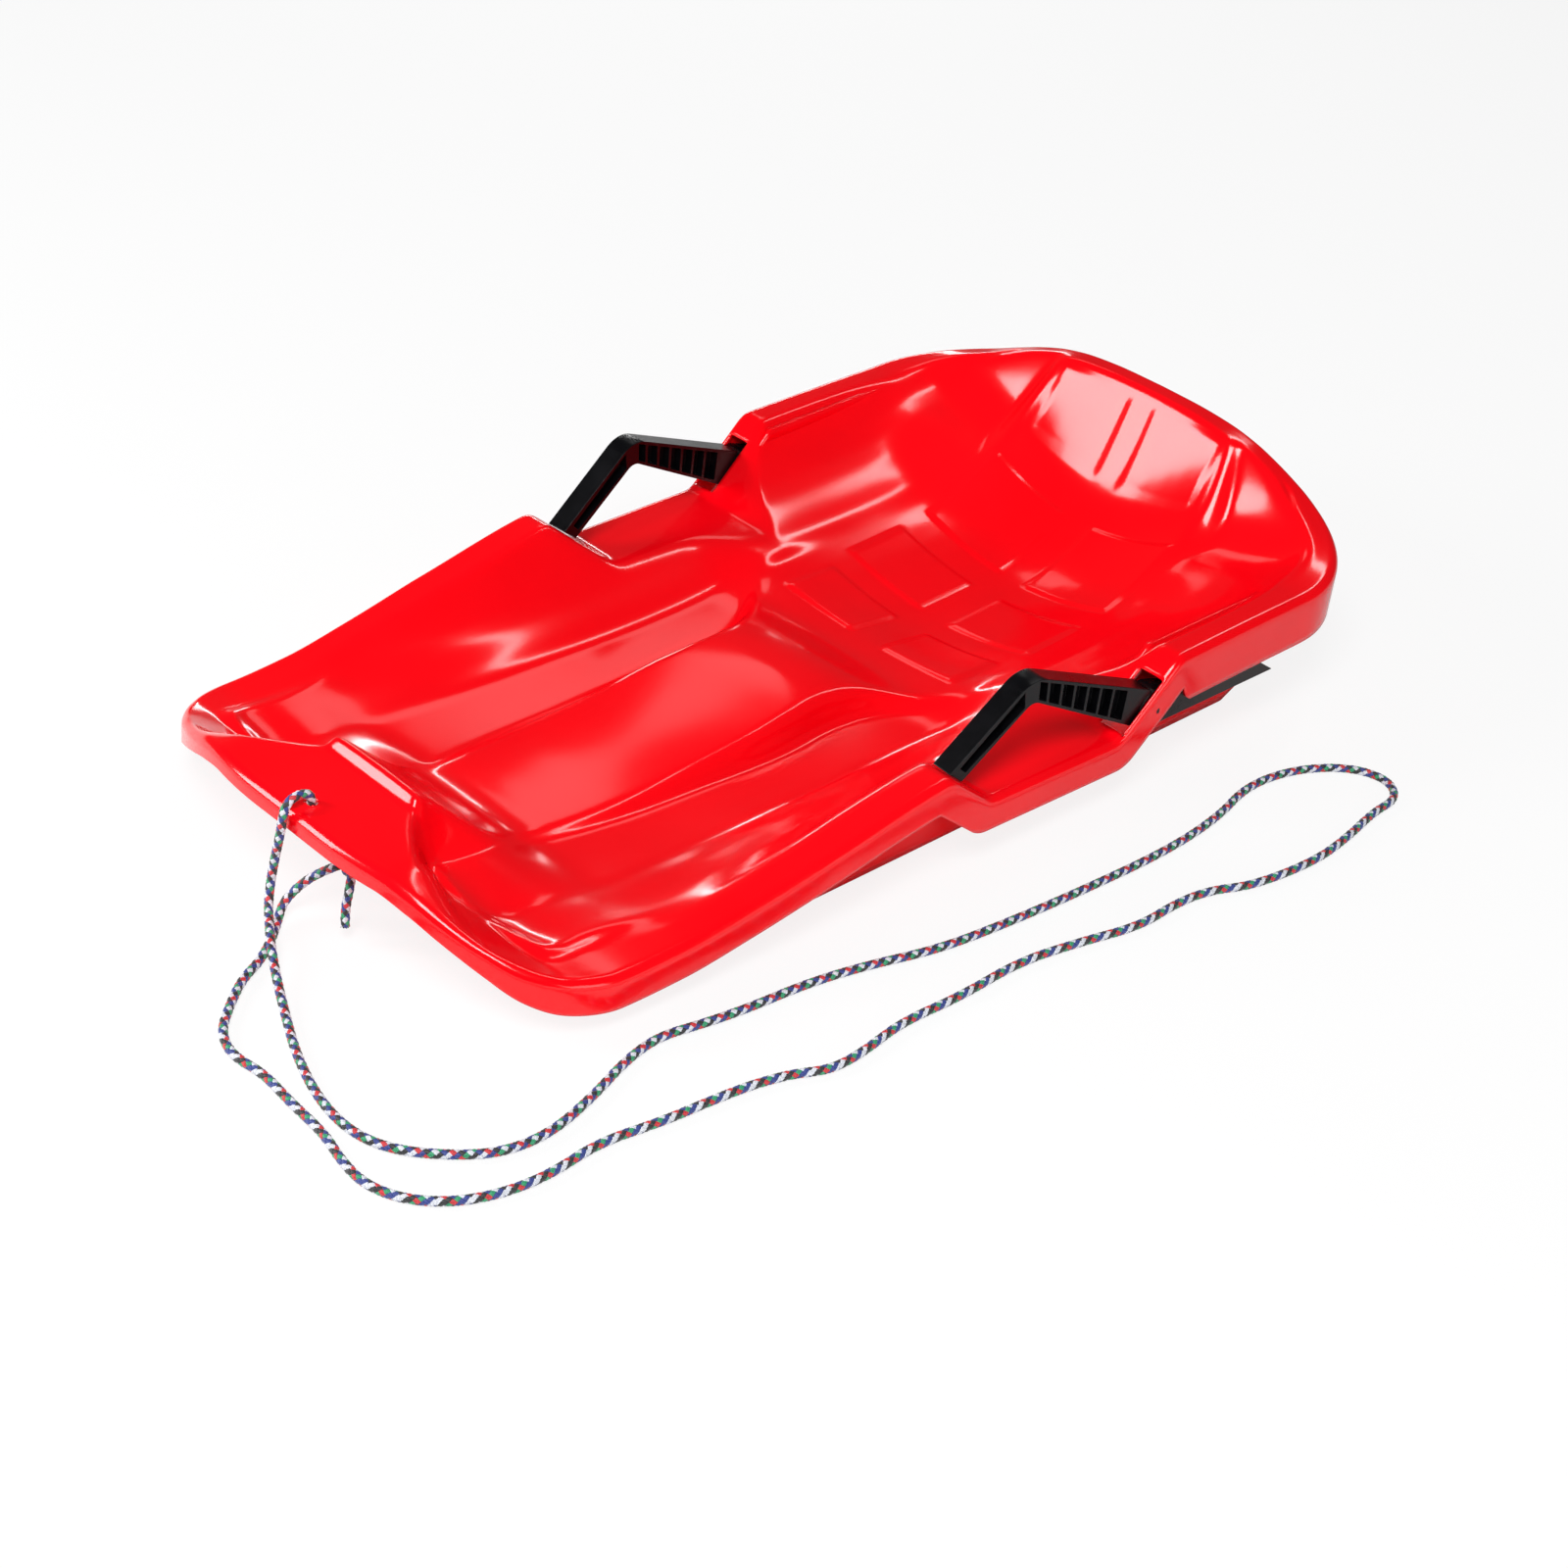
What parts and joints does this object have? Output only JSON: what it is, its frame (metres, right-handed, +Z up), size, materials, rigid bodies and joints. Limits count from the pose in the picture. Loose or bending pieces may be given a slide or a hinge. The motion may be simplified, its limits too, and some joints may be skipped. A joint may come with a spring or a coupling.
{
  "type": "plastic sled with brakes",
  "caption": "Moulded plastic sled with a deep tub, raised back rest, a pivoting hand brake in a notch on each side, and a braided tow rope knotted through its nose.",
  "frame": {"origin": "middle of the footprint on the snow, under the centre of the sled", "axes": "+Z up, -Y towards the nose, +X towards the sled's left side"},
  "size_m": [0.5588, 0.9045, 0.1516],
  "materials": {
    "hull_plastic": "glossy moulded red plastic",
    "lever_plastic": "satin moulded black plastic",
    "pin_steel": "plain steel pin",
    "rope_braid": "braided rope, white with dark blue, green and red flecks"
  },
  "bodies": {
    "sled": {"hull": "hull_plastic", "pivot_pin_left": "pin_steel", "pivot_pin_right": "pin_steel", "tow_rope": "rope_braid", "rope_knot": "rope_braid", "rope_tail": "rope_braid"},
    "left_brake": {"brake_lever_left": "lever_plastic"},
    "right_brake": {"brake_lever_right": "lever_plastic"}
  },
  "joints": [
    {"name": "left_brake_pivot", "type": "hinge", "parent": "sled", "child": "left_brake", "pos_m": [0.2018, 0.156, 0.0625], "axis": [-1, 0, 0], "range_deg": [0, 35]},
    {"name": "right_brake_pivot", "type": "hinge", "parent": "sled", "child": "right_brake", "pos_m": [-0.2018, 0.156, 0.0625], "axis": [-1, 0, 0], "range_deg": [0, 35]}
  ]
}
